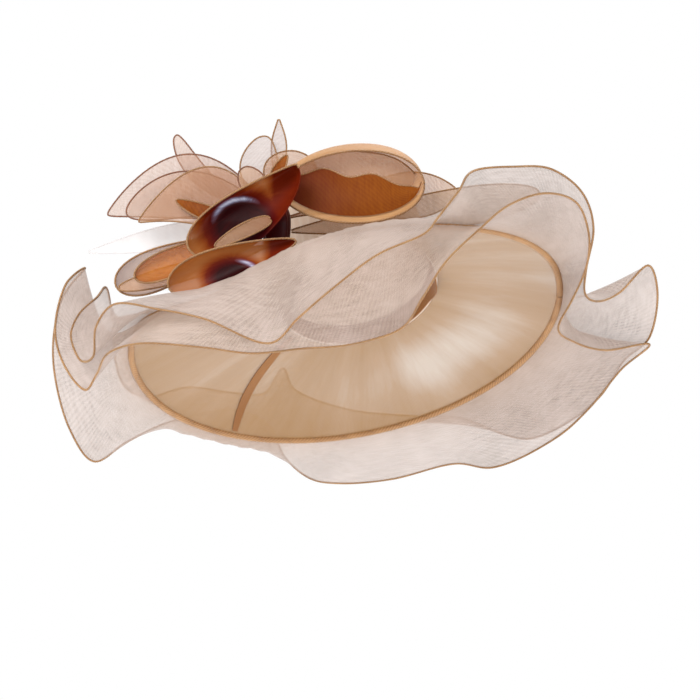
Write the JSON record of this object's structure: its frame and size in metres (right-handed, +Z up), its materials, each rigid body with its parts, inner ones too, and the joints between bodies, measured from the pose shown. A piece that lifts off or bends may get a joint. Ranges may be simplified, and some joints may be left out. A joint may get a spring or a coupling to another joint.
{
  "type": "wide-brim dress hat",
  "caption": "Wide-brim dress hat with a domed crown, a wired brim edged by wavy sheer frills, and a bow of organza loops and petals.",
  "frame": {"origin": "centre of the head opening, in the plane where crown and brim meet", "axes": "worn pose: +Z up, +X to the viewer's right from the front, +Y to the back; the crown's axis leans 32 degrees back and 9.5 degrees to the viewer's left"},
  "size_m": [0.6054, 0.5156, 0.3691],
  "materials": {
    "brim_cloth": "matt woven cloth",
    "gold_satin": "satin binding with a soft sheen",
    "pale_organza": "sheer organza with a fine weave",
    "tan_organza": "sheer organza with a soft sheen",
    "orange_organza": "sheer organza with a soft sheen",
    "pink_organza": "very sheer organza",
    "white_organza": "very sheer organza",
    "dark_satin": "glossy satin"
  },
  "bodies": {
    "root": {"crown": "brim_cloth", "head_band": "gold_satin", "brim": "brim_cloth", "brim_binding": "gold_satin", "brim_seam": "gold_satin", "frill_lower": "pale_organza", "frill_upper": "pale_organza", "bow_core": "dark_satin", "petal_right_wide": "tan_organza", "petal_base_long": "pale_organza", "petal_tan_back": "tan_organza", "petal_orange": "orange_organza", "petal_tall": "pink_organza", "petal_tall_tip": "pink_organza", "petal_small_upright": "pink_organza", "petal_round": "tan_organza", "petal_left_high": "pink_organza", "petal_left_middle": "pink_organza", "petal_left_low": "tan_organza", "petal_pointed": "orange_organza", "petal_white_spike": "white_organza", "petal_low": "tan_organza", "petal_inner_low": "orange_organza", "petal_inner_high": "tan_organza", "petal_front_tan": "tan_organza", "loop_right": "orange_organza", "loop_across": "dark_satin", "loop_lower_left": "dark_satin", "loop_orange": "orange_organza", "loop_far_left": "tan_organza"}
  },
  "joints": []
}
